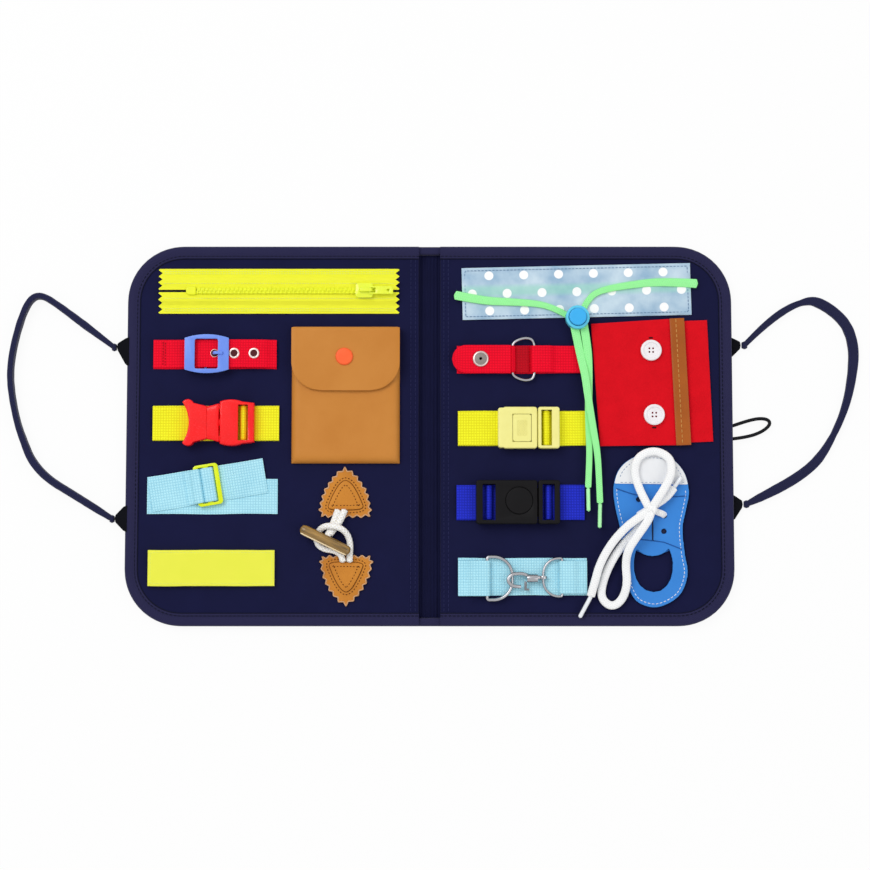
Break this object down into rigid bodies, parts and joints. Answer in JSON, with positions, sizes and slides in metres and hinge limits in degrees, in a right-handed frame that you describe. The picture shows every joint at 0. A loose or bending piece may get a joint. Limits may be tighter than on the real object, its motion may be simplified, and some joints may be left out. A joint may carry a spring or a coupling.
{
  "type": "folding busy board",
  "caption": "Folding cloth busy board with padded covers, carry handles, a zipper, buckles, straps with snaps and clasps, a pouch, a toggle, a drawcord, a button flap and a lacing shoe.",
  "frame": {"origin": "middle of the spine, on the plane that the open board rests on", "axes": "+X from the left cover to the right one, +Y to the top edge, +Z out of the working side"},
  "size_m": [0.6103, 0.272, 0.0216],
  "materials": {
    "navy_cloth": "woven cotton, padded",
    "binding_tape": "folded twill tape",
    "strap_cloth": "folded and stitched cotton",
    "black_elastic": "braided elastic",
    "neon_tape": "woven zipper tape with moulded teeth",
    "neon_enamel": "gloss enamel",
    "red_webbing": "woven polypropylene",
    "nickel": "nickel plate",
    "blue_plastic": "moulded acetal",
    "yellow_webbing": "woven polypropylene",
    "red_plastic": "moulded acetal",
    "pale_blue_webbing": "woven polypropylene",
    "lime_plastic": "moulded acetal",
    "neon_hook_tape": "hook and loop tape",
    "tan_leatherette": "grained leatherette",
    "orange_enamel": "gloss snap cap",
    "brown_leather": "pinked leatherette",
    "brown_wood": "varnished",
    "cream_cord": "braided cotton",
    "dotted_satin": "satin with white dots",
    "green_lace": "flat braid",
    "lace_tip": "clear film tip",
    "sky_plastic": "moulded",
    "cream_plastic": "moulded acetal",
    "blue_webbing": "woven polypropylene",
    "black_plastic": "moulded acetal",
    "red_felt": "pressed felt",
    "white_button": "polyester button",
    "blue_leatherette": "smooth leatherette",
    "white_leatherette": "smooth leatherette",
    "white_lace": "round braid"
  },
  "bodies": {
    "left_cover": {"left_panel": "navy_cloth", "left_binding": "binding_tape", "zipper_halves": "neon_tape", "red_belt_webbing": "red_webbing", "left_metal_trim": "nickel", "tongue_buckle_frame": "blue_plastic", "side_release_webbing": "yellow_webbing", "side_release_socket": "red_plastic", "tri_glide_webbing": "pale_blue_webbing", "hook_strip": "neon_hook_tape", "pouch_body": "tan_leatherette", "toggle_tabs": "brown_leather", "toggle_cords": "cream_cord"},
    "spine": {"spine_fabric": "navy_cloth"},
    "right_cover": {"right_panel": "navy_cloth", "right_binding": "binding_tape", "closure_elastic": "black_elastic", "lace_tunnel": "dotted_satin", "drawcord": "green_lace", "lace_aglets": "lace_tip", "ring_strap_webbing": "red_webbing", "strap_d_ring": "nickel", "pale_buckle_webbing": "yellow_webbing", "pale_buckle_socket": "cream_plastic", "black_buckle_webbing": "blue_webbing", "black_buckle_socket": "black_plastic", "clasp_webbing": "pale_blue_webbing", "clasp_left_ring": "nickel", "clasp_right_ring": "nickel", "trigger_hook": "nickel", "felt_base": "red_felt", "felt_flap": "red_felt", "felt_leather_band": "brown_leather", "felt_buttons": "white_button", "shoe_upper": "blue_leatherette", "toe_cap": "white_leatherette", "shoelace": "white_lace"},
    "left_handle": {"left_handle": "strap_cloth"},
    "right_handle": {"right_handle": "strap_cloth"},
    "zip_slider": {"zip_slider": "neon_enamel"},
    "zip_pull": {"zip_pull_tab": "neon_enamel"},
    "belt_prong": {"tongue_buckle_prong": "blue_plastic"},
    "side_plug": {"side_release_plug": "red_plastic", "side_plug_webbing": "yellow_webbing"},
    "tri_glide": {"tri_glide_slider": "lime_plastic", "tri_glide_strap_loop": "pale_blue_webbing"},
    "loop_strip": {"loop_strip": "neon_hook_tape"},
    "pouch_flap": {"pouch_flap": "tan_leatherette", "pouch_snap_cap": "orange_enamel"},
    "toggle": {"toggle": "brown_wood"},
    "cord_lock": {"cord_lock_body": "sky_plastic"},
    "cord_lock_button": {"cord_lock_button": "sky_plastic"},
    "snap_strap": {"snap_strap": "red_webbing"},
    "pale_plug": {"pale_buckle_plug": "cream_plastic", "pale_plug_webbing": "yellow_webbing"},
    "pale_button": {"pale_buckle_button": "cream_plastic"},
    "black_plug": {"black_buckle_plug": "black_plastic", "black_plug_webbing": "blue_webbing"},
    "black_button": {"black_buckle_button": "black_plastic"},
    "hook_trigger": {"hook_trigger": "nickel"}
  },
  "joints": [
    {"name": "spine_fold", "type": "hinge", "parent": "left_cover", "child": "spine", "pos_m": [-0.0075, 0, 0.007], "axis": [0, 1, 0], "range_deg": [-85, 0]},
    {"name": "cover_fold", "type": "hinge", "parent": "spine", "child": "right_cover", "pos_m": [0.0075, 0, 0.007], "axis": [0, 1, 0], "range_deg": [-85, 0]},
    {"name": "left_handle_swing", "type": "hinge", "parent": "left_cover", "child": "left_handle", "pos_m": [-0.226, 0.0016, 0.0045], "axis": [0, 1, 0], "range_deg": [0, 90]},
    {"name": "right_handle_swing", "type": "hinge", "parent": "right_cover", "child": "right_handle", "pos_m": [0.226, 0.0078, 0.0024], "axis": [0, -1, 0], "range_deg": [0, 105]},
    {"name": "zip_slide", "type": "slide", "parent": "left_cover", "child": "zip_slider", "axis": [-1, 0, 0], "range_m": [0, 0.112]},
    {"name": "zip_pull_swing", "type": "hinge", "parent": "zip_slider", "child": "zip_pull", "pos_m": [-0.0426, 0.1033, 0.01305], "axis": [0, -1, 0], "range_deg": [0, 120]},
    {"name": "prong_lift", "type": "hinge", "parent": "left_cover", "child": "belt_prong", "pos_m": [-0.16, 0.058, 0.0094], "axis": [0, -1, 0], "range_deg": [0, 7]},
    {"name": "side_plug_release", "type": "slide", "parent": "left_cover", "child": "side_plug", "axis": [-1, 0, 0], "range_m": [0, 0.015], "deforming": ["side_plug_webbing"]},
    {"name": "tri_glide_slide", "type": "slide", "parent": "left_cover", "child": "tri_glide", "axis": [0.9863, 0.165, 0], "range_m": [0, 0.018]},
    {"name": "loop_strip_peel", "type": "hinge", "parent": "left_cover", "child": "loop_strip", "pos_m": [-0.1995, -0.0949, 0.0088], "axis": [0, -1, 0], "range_deg": [0, 75]},
    {"name": "pouch_flap_lift", "type": "hinge", "parent": "left_cover", "child": "pouch_flap", "pos_m": [-0.05985, 0.0765, 0.008], "axis": [-1, 0, 0], "range_deg": [0, 85]},
    {"name": "toggle_turn", "type": "hinge", "parent": "left_cover", "child": "toggle", "pos_m": [-0.0737, -0.0753, 0.0145], "axis": [0, 0, 1], "range_deg": [0, 10]},
    {"name": "cord_lock_slide", "type": "slide", "parent": "right_cover", "child": "cord_lock", "axis": [0.1702, -0.9854, 0], "range_m": [0, 0.028]},
    {"name": "cord_lock_press", "type": "slide", "parent": "cord_lock", "child": "cord_lock_button", "axis": [0, 0, -1], "range_m": [0, 0.002], "stiffness_N_per_m": 300},
    {"name": "snap_strap_lift", "type": "hinge", "parent": "right_cover", "child": "snap_strap", "pos_m": [0.0581, 0.0539, 0.0119], "axis": [0, 1, 0], "range_deg": [0, 100]},
    {"name": "pale_plug_release", "type": "slide", "parent": "right_cover", "child": "pale_plug", "axis": [1, 0, 0], "range_m": [0, 0.012], "deforming": ["pale_plug_webbing"]},
    {"name": "pale_button_press", "type": "slide", "parent": "right_cover", "child": "pale_button", "axis": [0, 0, -1], "range_m": [0, 0.0009], "stiffness_N_per_m": 400},
    {"name": "black_plug_release", "type": "slide", "parent": "right_cover", "child": "black_plug", "axis": [1, 0, 0], "range_m": [0, 0.012], "deforming": ["black_plug_webbing"]},
    {"name": "black_button_press", "type": "slide", "parent": "right_cover", "child": "black_button", "axis": [0, 0, -1], "range_m": [0, 0.0011], "stiffness_N_per_m": 400},
    {"name": "hook_trigger_pull", "type": "hinge", "parent": "right_cover", "child": "hook_trigger", "pos_m": [0.0678, -0.1048, 0.0118], "axis": [0, 0, 1], "range_deg": [0, 18], "stiffness_Nm_per_rad": 0.01}
  ],
  "couplings": [
    {"joint": "cover_fold", "follows": "spine_fold", "ratio": 1}
  ]
}
